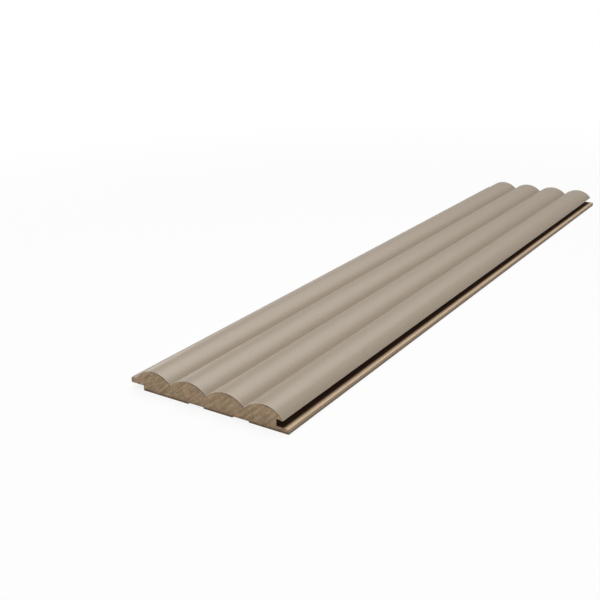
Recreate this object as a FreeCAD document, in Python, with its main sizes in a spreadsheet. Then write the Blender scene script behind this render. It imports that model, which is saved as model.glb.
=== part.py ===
# Fluted wall panel of medium density fibreboard, lying on its back.
# The length runs along Y, the width along X and the face looks up along Z.
# Every section is drawn from the end of the tongue (x = 0) and from the back (z = 0).
import FreeCAD, Part
import math
import os
import sys
import Sketcher

doc = FreeCAD.newDocument("FlutedWallPanel")

# Driving sizes in millimetres
drivingSizes = [
    ("panel_length", "630", "cut length of the panel"),
    ("thickness", "16", "back to the top of a flute, film included"),
    ("flute_pitch", "30", "width of one flute, valley to valley"),
    ("flute_count", "4", "flutes across the face"),
    ("flute_height", "6.2", "valley to the top of a flute"),
    ("film_thickness", "0.3", "decorative film glued over the face"),
    ("film_return", "2.5", "film turned in under the nose"),
    ("nose_gap", "0.4", "last flute's nose to the full pitch"),
    ("nose_wall", "0.9", "upright edge of the nose under its flute"),
    ("nose_round", "0.5", "rounding of both corners of the nose, on the film"),
    ("tongue_length", "5.2", "tongue beyond the first flute's pitch"),
    ("tongue_thickness", "3.9", "tongue, film included"),
    ("tongue_chamfer", "0.5", "chamfer on both corners of the tongue's end"),
    ("lip_thickness", "3.5", "lower lip, under the next panel's tongue"),
    ("lip_reach", "3.4", "lower lip beyond the last flute's pitch"),
    ("play_under_tongue", "0.2", "lower lip to the next panel's tongue"),
    ("play_over_tongue", "0.5", "next panel's tongue to the film under the nose"),
    ("play_at_tongue_end", "0.5", "next panel's tongue to the bottom of the groove"),
    ("play_at_lip_end", "2.3", "lower lip to the next panel's back"),
    ("channel_width", "12.8", "relief channel on the back"),
    ("channel_depth", "1", "depth of a relief channel"),
    ("channel_offset", "49.5", "tongue's end to the near side of the first channel"),
    ("channel_spacing", "36.2", "one channel to the next"),
    ("channel_count", "2", "relief channels on the back"),
]

sheet = doc.addObject("Spreadsheet::Sheet", "Sizes")
for row, (alias, value, note) in enumerate(drivingSizes, start=1):
    sheet.set(f"A{row}", note)
    sheet.set(f"B{row}", value)
    sheet.setAlias(f"B{row}", alias)
doc.recompute()

# Levels above the back, as expressions on the sheet
tongueUnderZ = "(Sizes.lip_thickness + Sizes.play_under_tongue)"
tongueTopZ = f"({tongueUnderZ} + Sizes.tongue_thickness)"
tongueCoreTopZ = f"({tongueTopZ} - Sizes.film_thickness)"
noseUnderZ = f"({tongueTopZ} + Sizes.play_over_tongue)"
grooveRoofZ = f"({noseUnderZ} + Sizes.film_thickness)"

# Places across the width
fluteStartX = "Sizes.tongue_length"
fluteEndX = f"({fluteStartX} + Sizes.flute_count * Sizes.flute_pitch)"
lipEndX = f"({fluteEndX} + Sizes.lip_reach)"
grooveBottomX = f"({fluteEndX} - Sizes.tongue_length - Sizes.play_at_tongue_end)"
backEdgeX = f"({fluteStartX} + Sizes.lip_reach + Sizes.play_at_lip_end)"

# An inner flute is one arc from valley to valley. The first and last flute fall away rounder
# on their outer half, from the crest to the top of the nose's edge.
halfPitch = "(Sizes.flute_pitch / 2)"
innerRadius = f"(({halfPitch}^2 + Sizes.flute_height^2) / (2 * Sizes.flute_height))"
outerRun = f"({halfPitch} - Sizes.nose_gap)"
outerFall = f"(Sizes.thickness - {noseUnderZ} - Sizes.nose_wall)"
outerRadius = f"(({outerRun}^2 + {outerFall}^2) / (2 * {outerFall}))"
firstCrestX = f"({fluteStartX} + {halfPitch})"
lastCrestX = f"({fluteEndX} - {halfPitch})"


def size(expression):
    """The number that an expression on the sheet gives now."""
    return float(sheet.evalExpression(expression))


def faceRun(depth):
    """The face from the foot of the first flute to the nose, at a depth under the film's surface.

    Each corner is (x, z, radius of the arc that leads to it, or None for a straight edge).
    """
    inner = f"({innerRadius} - {depth})"
    outer = f"({outerRadius} - {depth})"
    crestZ = f"(Sizes.thickness - {depth})"
    valleyZ = f"({crestZ} - {inner} + sqrt({inner}^2 - {halfPitch}^2))"
    footZ = f"({tongueTopZ} - {depth})"
    footX = f"({firstCrestX} - sqrt({outer}^2 - ({footZ} - {crestZ} + {outer})^2))"
    noseX = f"({fluteEndX} - Sizes.nose_gap - {depth})"
    noseTopZ = f"({crestZ} - {outer} + sqrt({outer}^2 - ({outerRun} - {depth})^2))"
    corners = [(footX, footZ, None), (firstCrestX, crestZ, outer)]
    for valley in range(1, round(size("Sizes.flute_count"))):
        corners.append((f"({fluteStartX} + {valley} * Sizes.flute_pitch)", valleyZ, inner))
    corners.append((lastCrestX, crestZ, inner))
    corners.append((noseX, noseTopZ, outer))
    corners.append((noseX, f"({noseUnderZ} + {depth})", None))
    return corners


def turnedRound(corners):
    """The same run walked the other way, each arc now leading to its other end."""
    radii = [radius for _, _, radius in corners[1:]] + [None]
    return [(x, z, radius) for (x, z, _), radius in zip(reversed(corners), reversed(radii))]


def originPart(body, role):
    for feature in body.Origin.OriginFeatures:
        if feature.Role == role:
            return feature
    raise ValueError(f"no {role} in {body.Name}")


def bindConstraint(sketch, expression, *constraint):
    """A constraint whose size is an expression on the sheet."""
    index = sketch.addConstraint(Sketcher.Constraint(*constraint, size(expression)))
    label = f"{constraint[0]}{index}"
    sketch.renameConstraint(index, label)
    sketch.setExpression(f"Constraints.{label}", expression)


def arcOver(start, finish, radius):
    """An arc that bulges upwards between two points, from its right end to its left end."""
    left, right = sorted((start, finish), key=lambda point: point.x)
    chord = right - left
    rise = radius - math.sqrt(radius**2 - (chord.Length / 2)**2)
    upwards = FreeCAD.Vector(-chord.y, chord.x, 0).normalize()
    middle = (left + right) / 2 + upwards * rise
    return Part.Arc(right, middle, left)


def addSection(body, name, corners):
    """A sketch across the panel with one closed section: its x is X and its y is Z."""
    sketch = body.newObject("Sketcher::SketchObject", name)
    sketch.AttachmentSupport = [(originPart(body, "XZ_Plane"), "")]
    sketch.MapMode = "FlatFace"
    points = [FreeCAD.Vector(size(x), size(z), 0) for x, z, _ in corners]
    edges = []
    for start, finish, (_, _, radius) in zip(points[-1:] + points[:-1], points, corners):
        if radius is None:
            edge = sketch.addGeometry(Part.LineSegment(start, finish))
            edges.append((edge, 1, 2))
            continue
        edge = sketch.addGeometry(arcOver(start, finish, size(radius)))
        bindConstraint(sketch, radius, "Radius", edge)
        edges.append((edge, 2, 1) if start.x < finish.x else (edge, 1, 2))
    for (edge, _, finishEnd), (following, startEnd, _) in zip(edges, edges[1:] + edges[:1]):
        sketch.addConstraint(Sketcher.Constraint("Coincident", edge, finishEnd, following, startEnd))
    for (edge, _, finishEnd), (x, z, _) in zip(edges, corners):
        bindConstraint(sketch, x, "DistanceX", -1, 1, edge, finishEnd)
        bindConstraint(sketch, z, "DistanceY", -1, 1, edge, finishEnd)
    return sketch


def drawAlong(body, kind, name, sketch):
    """Pad or cut a section over the whole length, half to each end."""
    feature = body.newObject(f"PartDesign::{kind}", name)
    feature.Profile = sketch
    feature.SideType = "Symmetric"
    feature.setExpression("Length", "Sizes.panel_length")
    sketch.Visibility = False
    doc.recompute()
    return feature


def roundCorners(body, name, corners, radius):
    """Round the edges that run the whole length at these corners of the section."""
    base = body.Tip
    near = 1e-3
    places = [(size(x), size(z)) for x, z, _ in corners]
    names = []
    for number, edge in enumerate(base.Shape.Edges, start=1):
        box = edge.BoundBox
        runsAlong = box.YLength > size("Sizes.panel_length") - near
        if runsAlong and any(math.dist(place, (box.Center.x, box.Center.z)) < near for place in places):
            names.append(f"Edge{number}")
    fillet = body.newObject("PartDesign::Fillet", name)
    fillet.Base = (base, names)
    fillet.setExpression("Radius", radius)
    doc.recompute()


def newBody(label):
    body = doc.addObject("PartDesign::Body", label)
    body.Label = label
    return body


def fibreboard():
    """The moulded board: flutes, tongue, groove, lower lip and back channels."""
    body = newBody("mdf_board")
    face = faceRun("Sizes.film_thickness")
    section = addSection(body, "BoardSection", [
        (backEdgeX, "0", None),
        (backEdgeX, tongueUnderZ, None),
        ("Sizes.tongue_chamfer", tongueUnderZ, None),
        ("0", f"({tongueUnderZ} + Sizes.tongue_chamfer)", None),
        ("0", f"({tongueCoreTopZ} - Sizes.tongue_chamfer)", None),
        ("Sizes.tongue_chamfer", tongueCoreTopZ, None),
        *face,
        (grooveBottomX, grooveRoofZ, None),
        (grooveBottomX, "Sizes.lip_thickness", None),
        (lipEndX, "Sizes.lip_thickness", None),
        (lipEndX, "0", None),
    ])
    drawAlong(body, "Pad", "Board", section)

    channelFarX = "(Sizes.channel_offset + Sizes.channel_width)"
    channelSection = addSection(body, "ChannelSection", [
        ("Sizes.channel_offset", "0", None),
        (channelFarX, "0", None),
        (channelFarX, "Sizes.channel_depth", None),
        ("Sizes.channel_offset", "Sizes.channel_depth", None),
    ])
    volumeBefore = body.Shape.Volume
    channel = drawAlong(body, "Pocket", "Channel", channelSection)
    channels = body.newObject("PartDesign::LinearPattern", "Channels")
    channels.Originals = [channel]
    channels.Direction = (originPart(body, "X_Axis"), [""])
    channels.Mode = "Spacing"
    channels.setExpression("Offset", "Sizes.channel_spacing")
    channels.setExpression("Occurrences", "Sizes.channel_count")
    body.Tip = channels
    doc.recompute()
    if body.Shape.Volume >= volumeBefore:
        sys.exit("the channels cut nothing from the back")

    roundCorners(body, "NoseRound", face[-2:], "Sizes.nose_round - Sizes.film_thickness")
    return body


def decorativeFilm():
    """The film: on the tongue, over the flutes and in under the nose."""
    body = newBody("face_film")
    surface = faceRun("0")
    glued = faceRun("Sizes.film_thickness")
    returnEndX = f"({surface[-1][0]} - Sizes.film_return)"
    section = addSection(body, "FilmSection", [
        ("Sizes.tongue_chamfer", tongueTopZ, None),
        *surface,
        (returnEndX, noseUnderZ, None),
        (returnEndX, grooveRoofZ, None),
        *turnedRound(glued),
        ("Sizes.tongue_chamfer", tongueCoreTopZ, None),
    ])
    drawAlong(body, "Pad", "Film", section)
    roundCorners(body, "NoseSurfaceRound", surface[-2:], "Sizes.nose_round")
    roundCorners(body, "NoseGluedRound", glued[-2:], "Sizes.nose_round - Sizes.film_thickness")
    return body


def check(bodies):
    """Stop if anything failed: a recompute doesn't say so by itself."""
    faults = []
    for item in doc.Objects:
        if "Invalid" in item.State or "Error" in item.State:
            faults.append(f"{item.Name} is {item.State}")
    for body in bodies:
        shape = body.Shape
        if shape.isNull() or not shape.isValid():
            faults.append(f"{body.Label} has no valid shape")
        elif len(shape.Solids) != 1:
            faults.append(f"{body.Label} has {len(shape.Solids)} solids")
    if faults:
        sys.exit("\n".join(faults))


bodies = [fibreboard(), decorativeFilm()]
for body in bodies:
    # The origin is the middle of the panel, on its back
    body.setExpression("Placement.Base.x", f"-{lipEndX} / 2")
doc.recompute()
check(bodies)

os.makedirs("parts", exist_ok=True)
for body in bodies:
    box = body.Shape.BoundBox
    print(body.Label, f"{box.XLength:.2f} x {box.YLength:.2f} x {box.ZLength:.2f} mm,",
          f"volume {body.Shape.Volume:.0f} mm3")
    body.Shape.exportStep(f"parts/{body.Label}.step")
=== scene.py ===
# A fluted wall panel of raw fibreboard with a satin film over its face, lying on its back
import math
import bmesh
import bpy
from mathutils import Matrix, Vector


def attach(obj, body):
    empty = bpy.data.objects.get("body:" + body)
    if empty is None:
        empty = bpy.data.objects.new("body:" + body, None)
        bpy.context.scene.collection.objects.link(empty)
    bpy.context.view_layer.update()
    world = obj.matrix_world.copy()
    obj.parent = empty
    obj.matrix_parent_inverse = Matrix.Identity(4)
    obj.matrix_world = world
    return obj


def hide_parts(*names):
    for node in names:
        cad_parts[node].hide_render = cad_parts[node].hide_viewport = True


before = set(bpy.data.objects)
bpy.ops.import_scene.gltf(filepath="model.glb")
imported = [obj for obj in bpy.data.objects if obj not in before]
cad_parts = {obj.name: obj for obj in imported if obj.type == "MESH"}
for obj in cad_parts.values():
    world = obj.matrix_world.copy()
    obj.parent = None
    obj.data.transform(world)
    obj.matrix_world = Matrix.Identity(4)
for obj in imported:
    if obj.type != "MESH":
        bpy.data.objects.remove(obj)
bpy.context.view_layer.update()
millimetre = 0.001

# The panel's section, in millimetres from the tongue's end and from the back
panelSection = {
    "length": 630.0,
    "thickness": 16.0,
    "flutePitch": 30.0,
    "fluteCount": 4,
    "fluteHeight": 6.2,
    "noseGap": 0.4,            # last flute's nose to the full pitch
    "noseWall": 0.9,           # upright edge of the nose
    "tongueLength": 5.2,
    "tongueThickness": 3.9,
    "tongueChamfer": 0.5,
    "lipThickness": 3.5,
    "lipReach": 3.4,
    "playUnderTongue": 0.2,
    "playOverTongue": 0.5,
    "playAtTongueEnd": 0.5,
    "playAtLipEnd": 2.3,
}

size = panelSection
halfPitch = size["flutePitch"] / 2
fluteEndX = size["tongueLength"] + size["fluteCount"] * size["flutePitch"]
lipEndX = fluteEndX + size["lipReach"]
grooveBottomX = fluteEndX - size["tongueLength"] - size["playAtTongueEnd"]
backEdgeX = size["tongueLength"] + size["lipReach"] + size["playAtLipEnd"]
tongueUnderZ = size["lipThickness"] + size["playUnderTongue"]
tongueTopZ = tongueUnderZ + size["tongueThickness"]
noseUnderZ = tongueTopZ + size["playOverTongue"]


# Drawing a section: a pen walks across the panel and leaves edges behind it

def sectionPoint(x, z):
    return Vector((x - lipEndX / 2, -size["length"] / 2, z)) * millimetre


def startPen(bm, x, z):
    return bmesh.ops.create_vert(bm, co=sectionPoint(x, z))["vert"][0]


def penTo(bm, pen, x, z):
    drawn = bmesh.ops.extrude_vert_indiv(bm, verts=[pen])["verts"][0]
    bmesh.ops.translate(bm, verts=[drawn], vec=sectionPoint(x, z) - drawn.co)
    return drawn


def penRound(bm, pen, centreX, centreZ, angle, steps):
    drawn = bmesh.ops.spin(bm, geom=[pen], cent=sectionPoint(centreX, centreZ), axis=(0, 1, 0), angle=angle,
                           steps=steps, use_merge=False, use_duplicate=False)
    return next(part for part in drawn["geom_last"] if isinstance(part, bmesh.types.BMVert))


def arcRadius(run, fall):
    return (run ** 2 + fall ** 2) / (2 * fall)


# From the foot of the first flute to the nose, at a depth under the film's surface
def penOverFlutes(bm, pen, depth, steps):
    crestZ = size["thickness"] - depth
    inner = arcRadius(halfPitch, size["fluteHeight"]) - depth
    outerRun = halfPitch - size["noseGap"]
    outer = arcRadius(outerRun, size["thickness"] - noseUnderZ - size["noseWall"]) - depth
    footAngle = math.acos((tongueTopZ - depth - crestZ + outer) / outer)
    valleyAngle = math.asin(halfPitch / inner)
    noseAngle = math.asin((outerRun - depth) / outer)
    crestX = size["tongueLength"] + halfPitch
    pen = penTo(bm, pen, crestX - outer * math.sin(footAngle), tongueTopZ - depth)
    pen = penRound(bm, pen, crestX, crestZ - outer, footAngle, steps)
    pen = penRound(bm, pen, crestX, crestZ - inner, valleyAngle, steps)
    for flute in range(1, size["fluteCount"] - 1):
        crestX += size["flutePitch"]
        pen = penRound(bm, pen, crestX, crestZ - inner, 2 * valleyAngle, 2 * steps)
    crestX += size["flutePitch"]
    pen = penRound(bm, pen, crestX, crestZ - inner, valleyAngle, steps)
    pen = penRound(bm, pen, crestX, crestZ - outer, noseAngle, steps)
    return penTo(bm, pen, fluteEndX - size["noseGap"] - depth, noseUnderZ + depth)


# Long edges of the section at the given corners
def longEdges(bm, corners):
    places = [sectionPoint(x, z) for x, z in corners]
    found = []
    for edge in bm.edges:
        first, second = edge.verts[0].co, edge.verts[1].co
        if abs(first.y - second.y) < size["length"] * millimetre / 2:
            continue
        if any(math.hypot(first.x - place.x, first.z - place.z) < 2e-5 for place in places):
            found.append(edge)
    return found


def drawAlong(bm, drawn):
    newVerts = [part for part in drawn if isinstance(part, bmesh.types.BMVert)]
    bmesh.ops.translate(bm, verts=newVerts, vec=(0, size["length"] * millimetre, 0))


def roundLong(bm, corners, offset, segments):
    bmesh.ops.bevel(bm, geom=longEdges(bm, corners), offset=offset * millimetre, offset_type="OFFSET",
                    segments=segments, profile=0.5, affect="EDGES", material=-1)


def keepPiece(bm, name, node, material, sharpAngle):
    bmesh.ops.recalc_face_normals(bm, faces=bm.faces)
    mesh = bpy.data.meshes.new(name)
    bm.to_mesh(mesh)
    bm.free()
    mesh.shade_smooth()
    mesh.set_sharp_from_angle(angle=math.radians(sharpAngle))
    piece = bpy.data.objects.new(name, mesh)
    bpy.context.scene.collection.objects.link(piece)
    mesh.materials.append(material)
    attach(piece, "root")
    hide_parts(node)
    return piece


# Node helpers

def feedInputs(tree, node, inputs):
    for socket, value in inputs.items():
        if isinstance(value, bpy.types.NodeSocket):
            tree.links.new(value, node.inputs[socket])
        else:
            node.inputs[socket].default_value = value
    return node


def addNode(tree, kind, inputs, **settings):
    node = tree.nodes.new(kind)
    for name, value in settings.items():
        setattr(node, name, value)
    return feedInputs(tree, node, inputs)


def sums(tree, operation, first, second=0.0):
    return addNode(tree, "ShaderNodeMath", {0: first, 1: second}, operation=operation).outputs[0]


def between(tree, value, low, high, toLow=0.0, toHigh=1.0):
    node = addNode(tree, "ShaderNodeMapRange", {"Value": value, "From Min": low, "From Max": high,
                                                "To Min": toLow, "To Max": toHigh}, interpolation_type="SMOOTHSTEP")
    return node.outputs["Result"]


def blend(tree, factor, first, second, kind="MIX"):
    node = addNode(tree, "ShaderNodeMix", {0: factor, 6: first, 7: second}, data_type="RGBA", blend_type=kind)
    return node.outputs[2]


# Three values added up, each times its weight
def weighted(tree, values, weights):
    first, second, third = (sums(tree, "MULTIPLY", value, weight) for value, weight in zip(values, weights))
    return sums(tree, "ADD", first, sums(tree, "ADD", second, third))


def newGroup(name, inputs, output):
    tree = bpy.data.node_groups.new(name, "ShaderNodeTree")
    for socket, kind in inputs.items():
        tree.interface.new_socket(name=socket, in_out="INPUT", socket_type=kind)
    tree.interface.new_socket(name=output, in_out="OUTPUT", socket_type="NodeSocketFloat")
    return tree, tree.nodes.new("NodeGroupInput"), tree.nodes.new("NodeGroupOutput")


def useGroup(tree, group, inputs):
    node = tree.nodes.new("ShaderNodeGroup")
    node.node_tree = group
    return feedInputs(tree, node, inputs).outputs[0]


# Coarse and fine grains together, with no direction
def speckleGroup():
    tree, given, result = newGroup("Speckle", {"Vector": "NodeSocketVector", "Scale": "NodeSocketFloat"}, "Grain")
    coarse = addNode(tree, "ShaderNodeTexNoise", {"Vector": given.outputs["Vector"], "Scale": given.outputs["Scale"],
                                                  "Detail": 3.0, "Roughness": 0.65})
    fineScale = sums(tree, "MULTIPLY", given.outputs["Scale"], 3.7)
    fine = addNode(tree, "ShaderNodeTexNoise", {"Vector": given.outputs["Vector"], "Scale": fineScale,
                                                "Detail": 1.0, "Roughness": 0.5})
    both = sums(tree, "ADD", sums(tree, "MULTIPLY", coarse.outputs[0], 0.6),
                sums(tree, "MULTIPLY", fine.outputs[0], 0.4))
    tree.links.new(between(tree, both, 0.34, 0.66), result.inputs["Grain"])
    return tree


# Streaks that run along the panel, as a cutter or a wrapping roller leaves them
def streakGroup():
    tree, given, result = newGroup("Lengthwise Streaks", {"Vector": "NodeSocketVector", "Across": "NodeSocketFloat",
                                                          "Along": "NodeSocketFloat"}, "Streak")
    scale = addNode(tree, "ShaderNodeCombineXYZ", {"X": given.outputs["Across"], "Y": given.outputs["Along"],
                                                   "Z": given.outputs["Across"]})
    stretched = addNode(tree, "ShaderNodeVectorMath", {0: given.outputs["Vector"], 1: scale.outputs[0]},
                        operation="MULTIPLY")
    noise = addNode(tree, "ShaderNodeTexNoise", {"Vector": stretched.outputs[0], "Scale": 1.0, "Detail": 4.0,
                                                 "Roughness": 0.6})
    tree.links.new(between(tree, noise.outputs[0], 0.3, 0.7), result.inputs["Streak"])
    return tree


# 1 on the two sawn ends, falling to 0 within a depth from them
def sawnEndGroup():
    tree, given, result = newGroup("Sawn End", {"Vector": "NodeSocketVector", "Depth": "NodeSocketFloat"}, "Mask")
    place = addNode(tree, "ShaderNodeSeparateXYZ", {0: given.outputs["Vector"]})
    fromMiddle = sums(tree, "ABSOLUTE", place.outputs["Y"])
    halfLength = size["length"] * millimetre / 2
    start = sums(tree, "SUBTRACT", halfLength, given.outputs["Depth"])
    tree.links.new(between(tree, fromMiddle, start, halfLength - 0.00002), result.inputs["Mask"])
    return tree


# Distance across from the nearest flute's crest, minus towards the tongue
def acrossFluteGroup():
    tree, given, result = newGroup("Across Flute", {"Vector": "NodeSocketVector"}, "Across")
    place = addNode(tree, "ShaderNodeSeparateXYZ", {0: given.outputs["Vector"]})
    firstCrest = (size["tongueLength"] + halfPitch - lipEndX / 2) * millimetre
    fromFirst = sums(tree, "SUBTRACT", place.outputs["X"], firstCrest)
    across = addNode(tree, "ShaderNodeMath", {0: fromFirst, 1: halfPitch * millimetre, 2: -halfPitch * millimetre},
                     operation="WRAP").outputs[0]
    tree.links.new(across, result.inputs["Across"])
    return tree


speckle = speckleGroup()
streaks = streakGroup()
sawnEnd = sawnEndGroup()
acrossFlute = acrossFluteGroup()


def newMaterial(name, shaderValues):
    material = bpy.data.materials.new(name)
    material.use_nodes = True
    tree = material.node_tree
    shader = tree.nodes["Principled BSDF"]
    for socket, value in shaderValues.items():
        shader.inputs[socket].default_value = value
    coords = tree.nodes.new("ShaderNodeTexCoord").outputs["Object"]
    return material, tree, shader, coords


def addBump(tree, shader, height, strength, distance):
    bump = addNode(tree, "ShaderNodeBump", {"Height": height, "Strength": strength, "Distance": distance})
    tree.links.new(bump.outputs["Normal"], shader.inputs["Normal"])


# Decorative film: satin greige, smooth to the eye, its cut rim a little paler with a painted highlight on the flank
# towards the tongue, and painted shade at the foot of each flute
filmFinish = {
    "thickness": 0.3,
    "return": 2.5,             # turned in under the nose
    "noseRound": 0.5,
    "noseTopRound": 0.18,      # the nose's upper corner is blunt already
    "valleyRound": 0.25,       # the film bridges the sharp valleys a little
    "arcSteps": 24,            # per half flute
    "greige": (0.412, 0.339, 0.259, 1.0),
    "greigeShade": (0.362, 0.297, 0.223, 1.0),
    # pale cut rim of the film, with a painted highlight on the flank towards the tongue
    "paleRimHighlight": (0.70, 0.61, 0.49, 1.0),
    "gloss": (0.32, 0.37),     # roughness from, to
    "valley": (0.352, 0.290, 0.220, 1.0),  # painted shade at the foot of each flute
    "valleySpan": (0.0108, 0.0142),        # from the crest, where the painted shade starts and is full, metres
    "valleyOnTongueSide": 0.3,             # its share on the flank towards the tongue
    "rimDepth": 0.0006,
    "rimHighlightSpan": (-0.009, 0.0, 1.0, 0.25),   # across from, to and the rim's share at each, metres; the full share on the flank towards the tongue is a painted highlight
    "grainScale": 700.0,
    "drawnScale": {"Across": 140.0, "Along": 3.0},
    "cloudScale": 14.0,
    "shadeShares": (0.75, 0.1, 0.15),      # grain, drawn streaks and cloud
    "bump": (0.25, 0.00004),               # strength and depth
}


def filmMaterial():
    finish = filmFinish
    material, tree, shader, coords = newMaterial("satinGreigeFilm", {"IOR": 1.5})
    grain = useGroup(tree, speckle, {"Vector": coords, "Scale": finish["grainScale"]})
    drawn = useGroup(tree, streaks, {"Vector": coords, **finish["drawnScale"]})
    cloud = addNode(tree, "ShaderNodeTexNoise", {"Vector": coords, "Scale": finish["cloudScale"], "Detail": 2.0})
    shade = weighted(tree, (grain, drawn, cloud.outputs[0]), finish["shadeShares"])
    colour = blend(tree, shade, finish["greige"], finish["greigeShade"])
    across = useGroup(tree, acrossFlute, {"Vector": coords})
    # Painted shade at the foot of each flute, weaker on the flank towards the tongue
    inValleyShade = between(tree, sums(tree, "ABSOLUTE", across), *finish["valleySpan"])
    shadeBySide = between(tree, across, -0.002, 0.002, finish["valleyOnTongueSide"], 1.0)
    colour = blend(tree, sums(tree, "MULTIPLY", inValleyShade, shadeBySide), colour, finish["valley"])
    # The film's cut rim at the ends is a little paler, and on the flank towards the tongue it carries a painted
    # highlight
    paleRimHighlight = useGroup(tree, sawnEnd, {"Vector": coords, "Depth": finish["rimDepth"]})
    paleRimHighlight = sums(tree, "MULTIPLY", paleRimHighlight, between(tree, across, *finish["rimHighlightSpan"]))
    colour = blend(tree, paleRimHighlight, colour, finish["paleRimHighlight"])
    tree.links.new(colour, shader.inputs["Base Color"])
    tree.links.new(between(tree, grain, 0.0, 1.0, *finish["gloss"]), shader.inputs["Roughness"])
    height = sums(tree, "ADD", sums(tree, "MULTIPLY", grain, 0.25), drawn)
    addBump(tree, shader, height, *finish["bump"])
    return material


def makeFilm():
    finish = filmFinish
    bm = bmesh.new()
    pen = startPen(bm, size["tongueChamfer"], tongueTopZ)
    pen = penOverFlutes(bm, pen, 0.0, finish["arcSteps"])
    noseX = fluteEndX - size["noseGap"]
    penTo(bm, pen, noseX - finish["return"], noseUnderZ)
    drawAlong(bm, bmesh.ops.extrude_edge_only(bm, edges=bm.edges[:])["geom"])
    valleys = [(size["tongueLength"] + flute * size["flutePitch"], size["thickness"] - size["fluteHeight"])
               for flute in range(1, size["fluteCount"])]
    roundLong(bm, valleys, finish["valleyRound"], 3)
    roundLong(bm, [(noseX, noseUnderZ)], finish["noseRound"], 4)
    roundLong(bm, [(noseX, noseUnderZ + size["noseWall"])], finish["noseTopRound"], 3)
    bm.normal_update()
    upward = max(bm.faces, key=lambda face: face.calc_center_median().z)
    if upward.normal.z < 0:
        bmesh.ops.reverse_faces(bm, faces=bm.faces)
    bmesh.ops.solidify(bm, geom=bm.faces[:], thickness=finish["thickness"] * millimetre)
    return keepPiece(bm, "filmOverFace", "face_film", filmMaterial(), 30)


film = makeFilm()
print("film wrapped over the face:", len(film.data.polygons), "faces")


# Raw fibreboard: milled along its length, sawn at the ends, with painted shade in the groove and painted contact
# shade along the bottom edges
boardFinish = {
    "channelWidth": 12.8,
    "channelDepth": 1.0,
    "channelOffset": 49.5,
    "channelSpacing": 36.2,
    "channelCount": 2,
    "arris": 0.2,              # broken long edges
    "innerArris": 0.3,         # inner corners, as the cutter leaves them
    "channelArris": 0.15,
    "sawSlant": math.radians(48),          # from upright
    "sawMark": (0.0013, 1.0, 0.009),       # across, through and along a mark, metres
    "sawPass": 0.004,                      # between two passes of a tooth, metres
    "milled": (0.69, 0.51, 0.345, 1.0),
    "milledShade": (0.55, 0.395, 0.258, 1.0),
    "cutSide": (0.36, 0.27, 0.19, 1.0),    # upright edge of the lip
    "sawn": (0.63, 0.46, 0.295, 1.0),
    "sawnShade": (0.25, 0.172, 0.106, 1.0),
    # painted shade deep in the groove
    "paintedGrooveShade": (0.036, 0.015, 0.005, 1.0),
    "bottomContactShade": (0.12, 0.085, 0.06, 1.0),     # painted contact shade along the bottom edges, where the panel meets the floor
    # dark line under the film's cut rim, stronger away from the tongue
    "darkLineUnderRim": (0.10, 0.072, 0.05, 1.0),
    "redder": (1.03, 0.985, 0.965, 1.0),   # two casts that drift over the ends
    "greener": (0.98, 1.01, 1.01, 1.0),
    "fibreScale": 420.0,
    "fluffScale": 1500.0,
    "gritScale": 620.0,
    "feedScale": {"Across": 700.0, "Along": 25.0},
    "patchScale": 90.0,
    "castScale": 260.0,
    "sawnShares": (0.38, 0.44, 0.18),      # grit, saw marks and patches
    "darkLineDepth": (0.0011, 0.0005),         # under the arc's edge, where the line starts and is full, metres
    "darkLineSpan": (-0.004, 0.003, 0.1, 1.0),  # across from, to and the line's share at each, metres
    "grooveShadeSpan": (0.0042, 0.0076),          # from the groove's bottom, where the painted shade ends, metres
    "bottomShadeDepth": (0.0003, 0.0024),         # above the back, where the painted shade starts to fade and ends, metres
    "bottomShadeShare": 0.8,
    "roughness": (0.75, 0.9),
    "bump": (0.5, 0.00012),                # strength and depth
}


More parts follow.
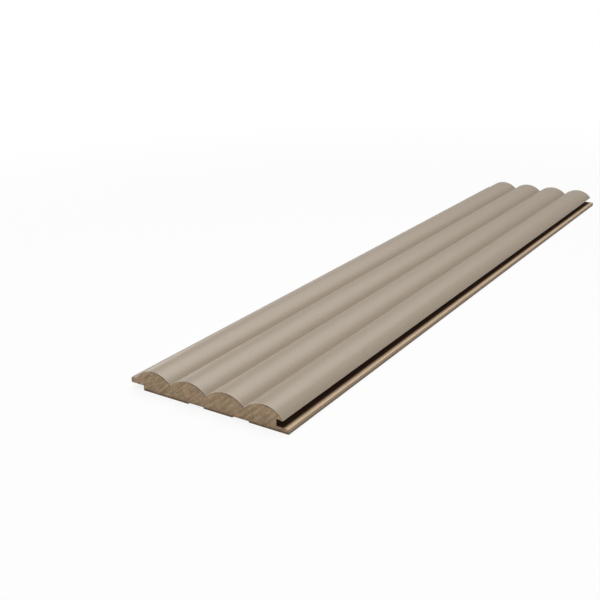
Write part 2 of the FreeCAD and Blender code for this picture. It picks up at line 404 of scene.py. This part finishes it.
def boardMaterial():
    finish = boardFinish
    material, tree, shader, coords = newMaterial("rawFibreboard", {"IOR": 1.45, "Specular IOR Level": 0.3})
    place = addNode(tree, "ShaderNodeSeparateXYZ", {0: coords})
    x, z = place.outputs["X"], place.outputs["Z"]
    fibres = useGroup(tree, speckle, {"Vector": coords, "Scale": finish["fibreScale"]})
    fluff = useGroup(tree, speckle, {"Vector": coords, "Scale": finish["fluffScale"]})
    grit = useGroup(tree, speckle, {"Vector": coords, "Scale": finish["gritScale"]})
    feed = useGroup(tree, streaks, {"Vector": coords, **finish["feedScale"]})
    milled = blend(tree, sums(tree, "MULTIPLY", feed, fluff), finish["milled"], finish["milledShade"])

    # The saw leaves slanting marks across the ends
    turned = addNode(tree, "ShaderNodeMapping", {"Vector": coords, "Rotation": (0.0, finish["sawSlant"], 0.0),
                                                 "Scale": finish["sawMark"]}, vector_type="TEXTURE")
    marks = addNode(tree, "ShaderNodeTexNoise", {"Vector": turned.outputs[0], "Scale": 1.0, "Detail": 2.0})
    passes = addNode(tree, "ShaderNodeTexWave", {
        "Vector": turned.outputs[0], "Scale": 0.314 * finish["sawMark"][0] / finish["sawPass"], "Distortion": 1.6,
        "Detail": 1.0, "Detail Scale": 0.6}, bands_direction="X").outputs["Fac"]
    passing = between(tree, x, -0.02, 0.02, 0.2, 0.45)
    sawMarks = addNode(tree, "ShaderNodeMix", {0: passing, 2: between(tree, marks.outputs[0], 0.36, 0.64),
                                               3: passes}).outputs[0]
    patch = addNode(tree, "ShaderNodeTexNoise", {"Vector": coords, "Scale": finish["patchScale"], "Detail": 2.0})
    sawnShade = weighted(tree, (grit, sawMarks, patch.outputs[0]), finish["sawnShares"])
    sawn = blend(tree, sawnShade, finish["sawn"], finish["sawnShade"])
    drift = addNode(tree, "ShaderNodeTexNoise", {"Vector": coords, "Scale": finish["castScale"], "Detail": 2.0})
    cast = blend(tree, between(tree, drift.outputs[0], 0.4, 0.6), finish["redder"], finish["greener"])
    sawn = blend(tree, 1.0, sawn, cast, "MULTIPLY")
    ends = useGroup(tree, sawnEnd, {"Vector": coords, "Depth": 0.0001})
    colour = blend(tree, ends, milled, sawn)
    offEnds = sums(tree, "SUBTRACT", 1.0, ends)

    # A dark line under the film's cut rim at the ends, stronger on the half of each arc away from the tongue
    inFlute = useGroup(tree, acrossFlute, {"Vector": coords})
    radius = arcRadius(halfPitch, size["fluteHeight"]) * millimetre
    rise = sums(tree, "ADD", z, radius - size["thickness"] * millimetre)
    fromCentre = sums(tree, "SQRT", sums(tree, "ADD", sums(tree, "MULTIPLY", inFlute, inFlute),
                                         sums(tree, "MULTIPLY", rise, rise)))
    darkLineUnderRim = between(tree, fromCentre, *(radius - depth for depth in finish["darkLineDepth"]))
    darkLineUnderRim = sums(tree, "MULTIPLY", darkLineUnderRim, between(tree, inFlute, *finish["darkLineSpan"]))
    colour = blend(tree, sums(tree, "MULTIPLY", darkLineUnderRim, ends), colour, finish["darkLineUnderRim"])

    # Painted shade in the groove fading across the lip's top, the upright edge of the lip darker, and painted
    # contact shade along the bottom of the sides
    grooveX = (grooveBottomX - lipEndX / 2) * millimetre
    inGrooveShade = sums(tree, "MULTIPLY", between(tree, x, grooveX - 0.0004, grooveX - 0.0001),
                    between(tree, x, *(grooveX + reach for reach in finish["grooveShadeSpan"]), 1.0, 0.0))
    inGrooveShade = sums(tree, "MULTIPLY", inGrooveShade, between(tree, z, 0.0030, 0.0034))
    colour = blend(tree, sums(tree, "MULTIPLY", inGrooveShade, offEnds), colour, finish["paintedGrooveShade"])
    lipX = lipEndX / 2 * millimetre
    onSide = sums(tree, "MULTIPLY", between(tree, x, lipX - 0.00016, lipX - 0.00005), offEnds)
    colour = blend(tree, onSide, colour, finish["cutSide"])
    # Painted contact shade along the bottom of every side, where the panel meets the floor
    bottomShade = sums(tree, "MULTIPLY", between(tree, z, 0.00001, 0.00004),
                between(tree, z, *finish["bottomShadeDepth"], 1.0, 0.0))
    colour = blend(tree, sums(tree, "MULTIPLY", bottomShade, finish["bottomShadeShare"]), colour, finish["bottomContactShade"])
    tree.links.new(colour, shader.inputs["Base Color"])
    tree.links.new(between(tree, fluff, 0.0, 1.0, *finish["roughness"]), shader.inputs["Roughness"])
    height = sums(tree, "ADD", fibres, sums(tree, "ADD", sums(tree, "MULTIPLY", sawMarks, ends), feed))
    addBump(tree, shader, height, *finish["bump"])
    return material


def makeBoard():
    finish = boardFinish
    depth = filmFinish["thickness"]
    chamfer = size["tongueChamfer"]
    bm = bmesh.new()
    pen = startPen(bm, backEdgeX, 0.0)
    tongue = [(backEdgeX, tongueUnderZ), (chamfer, tongueUnderZ), (0.0, tongueUnderZ + chamfer),
              (0.0, tongueTopZ - depth - chamfer), (chamfer, tongueTopZ - depth)]
    for x, z in tongue:
        pen = penTo(bm, pen, x, z)
    pen = penOverFlutes(bm, pen, depth, filmFinish["arcSteps"])
    groove = [(grooveBottomX, noseUnderZ + depth), (grooveBottomX, size["lipThickness"]),
              (lipEndX, size["lipThickness"]), (lipEndX, 0.0)]
    for x, z in groove:
        pen = penTo(bm, pen, x, z)
    channels = []
    for channel in reversed(range(finish["channelCount"])):
        nearX = finish["channelOffset"] + channel * finish["channelSpacing"]
        farX = nearX + finish["channelWidth"]
        channels += [(farX, 0.0), (farX, finish["channelDepth"]), (nearX, finish["channelDepth"]), (nearX, 0.0)]
    for x, z in channels:
        pen = penTo(bm, pen, x, z)
    penTo(bm, pen, backEdgeX, 0.0)
    bmesh.ops.remove_doubles(bm, verts=bm.verts, dist=1e-6)
    end = bmesh.ops.contextual_create(bm, geom=bm.edges[:])["faces"]
    drawAlong(bm, bmesh.ops.extrude_face_region(bm, geom=end)["geom"])
    roundLong(bm, [(backEdgeX, 0.0), *groove[2:], *tongue[1:5]], finish["arris"], 2)
    roundLong(bm, [groove[0], groove[1], tongue[0]], finish["innerArris"], 2)
    roundLong(bm, channels, finish["channelArris"], 2)
    return keepPiece(bm, "boardUnderFilm", "mdf_board", boardMaterial(), 28)


board = makeBoard()
print("board milled:", len(board.data.polygons), "faces")


# Studio light: four broad softboxes, a small low one behind the tongue's side, and pale air all round
studioLight = {
    "lamps": {
        "backSoftbox": {"from": (-0.5, 1.6, 1.8), "side": 1.6, "power": 8.4},
        "highSoftbox": {"from": (-0.35, 0.9, 2.2), "side": 1.6, "power": 16.6},
        "sideSoftbox": {"from": (1.6, 0.0, 1.6), "side": 1.6, "power": 13.7},
        "nearSoftbox": {"from": (-0.15, -0.45, 1.0), "side": 0.9, "power": 5.3},
        "lowSoftbox": {"from": (-1.3, 0.66, 0.223), "side": 0.3, "power": 0.6},  # grazes the flutes' far flanks
    },
    "air": 0.15,
    "airInGloss": 0.35,        # how much of the white surroundings a glossy surface shows
}

# Floor: white to the camera, with the panel's own soft shadow
floorFinish = {
    "reach": 12.0,             # metres from the middle
    "under": 0.00005,          # below the back, so the two never share a plane
    "colour": (0.93, 0.93, 0.93, 1.0),
    "whiteNear": 0.82,         # share of plain white close to the panel, all of it far away
    "whiteFrom": 0.25,
    "whiteTo": 0.95,
}


# 1 for the rays that see plain white, less for glossy ones, 0 for the light that falls on the panel
def whiteSeen(tree):
    path = tree.nodes.new("ShaderNodeLightPath").outputs
    inGloss = sums(tree, "MULTIPLY", path["Is Glossy Ray"], studioLight["airInGloss"])
    return sums(tree, "MAXIMUM", path["Is Camera Ray"], sums(tree, "MAXIMUM", inGloss, path["Is Transmission Ray"]))


def makeFloor():
    finish = floorFinish
    material = bpy.data.materials.new("paleFloor")
    material.use_nodes = True
    tree = material.node_tree
    tree.nodes.remove(tree.nodes["Principled BSDF"])
    paint = addNode(tree, "ShaderNodeBsdfDiffuse", {"Color": finish["colour"]})
    white = addNode(tree, "ShaderNodeEmission", {"Color": (1.0, 1.0, 1.0, 1.0), "Strength": 1.0})
    coords = tree.nodes.new("ShaderNodeTexCoord").outputs["Object"]
    away = addNode(tree, "ShaderNodeVectorMath", {0: coords}, operation="LENGTH").outputs["Value"]
    share = between(tree, away, finish["whiteFrom"], finish["whiteTo"], finish["whiteNear"], 1.0)
    both = addNode(tree, "ShaderNodeMixShader", {0: sums(tree, "MULTIPLY", share, whiteSeen(tree)),
                                                 1: paint.outputs[0], 2: white.outputs[0]})
    tree.links.new(both.outputs[0], tree.nodes["Material Output"].inputs["Surface"])
    bm = bmesh.new()
    bmesh.ops.create_grid(bm, x_segments=1, y_segments=1, size=finish["reach"])
    bmesh.ops.translate(bm, verts=bm.verts, vec=(0, 0, -finish["under"]))
    mesh = bpy.data.meshes.new("floor")
    bm.to_mesh(mesh)
    bm.free()
    mesh.materials.append(material)
    floor = bpy.data.objects.new("floor", mesh)
    bpy.context.scene.collection.objects.link(floor)


makeFloor()


def addSoftbox(name, lamp):
    light = bpy.data.lights.new(name, "AREA")
    light.shape = "SQUARE"
    light.size = lamp["side"]
    light.energy = lamp["power"]
    holder = bpy.data.objects.new(name, light)
    holder.location = lamp["from"]
    holder.rotation_euler = (-Vector(lamp["from"])).to_track_quat("-Z", "Y").to_euler()
    bpy.context.scene.collection.objects.link(holder)


def makeWorld(strength):
    world = bpy.data.worlds.new("studioAir")
    world.use_nodes = True
    bpy.context.scene.world = world
    tree = world.node_tree
    level = between(tree, whiteSeen(tree), 0.0, 1.0, strength, 1.0)
    background = tree.nodes["Background"]
    background.inputs["Color"].default_value = (1.0, 1.0, 1.0, 1.0)
    tree.links.new(level, background.inputs["Strength"])


for lampName, lamp in studioLight["lamps"].items():
    addSoftbox(lampName, lamp)
makeWorld(studioLight["air"])
print("studio lit")


# Camera at the photograph's viewing angle
cameraView = {
    "azimuth": 33.755,         # degrees round from the front end towards the grooved edge
    "elevation": 20.494,
    "roll": -1.266,
    "middle": (112.543, 25.216, 814.437),   # the panel's middle as the camera sees it: right, up, away
    "focal": 885.645,          # in pixels of the frame
    "frame": 600,              # the frame's width in pixels
}


def makeCamera():
    view = cameraView
    azimuth, elevation, roll = (math.radians(view[angle]) for angle in ("azimuth", "elevation", "roll"))
    back = Vector((math.sin(azimuth) * math.cos(elevation), -math.cos(azimuth) * math.cos(elevation),
                   math.sin(elevation)))
    right = Vector((0, 0, 1)).cross(back).normalized()
    up = back.cross(right)
    rightRolled = right * math.cos(roll) + up * math.sin(roll)
    upRolled = up * math.cos(roll) - right * math.sin(roll)
    toRight, toUp, away = view["middle"]
    place = (back * away - rightRolled * toRight - upRolled * toUp) * millimetre
    camera = bpy.data.cameras.new("camera")
    camera.sensor_width = 36.0
    camera.lens = view["focal"] * camera.sensor_width / view["frame"]
    camera.clip_start = 0.01
    camera.clip_end = 100.0
    holder = bpy.data.objects.new("camera", camera)
    turn = Matrix((rightRolled, upRolled, back)).transposed().to_4x4()
    holder.matrix_world = Matrix.Translation(place) @ turn
    bpy.context.scene.collection.objects.link(holder)
    bpy.context.scene.camera = holder


makeCamera()
bpy.context.scene.view_settings.view_transform = "Standard"
print("camera set")
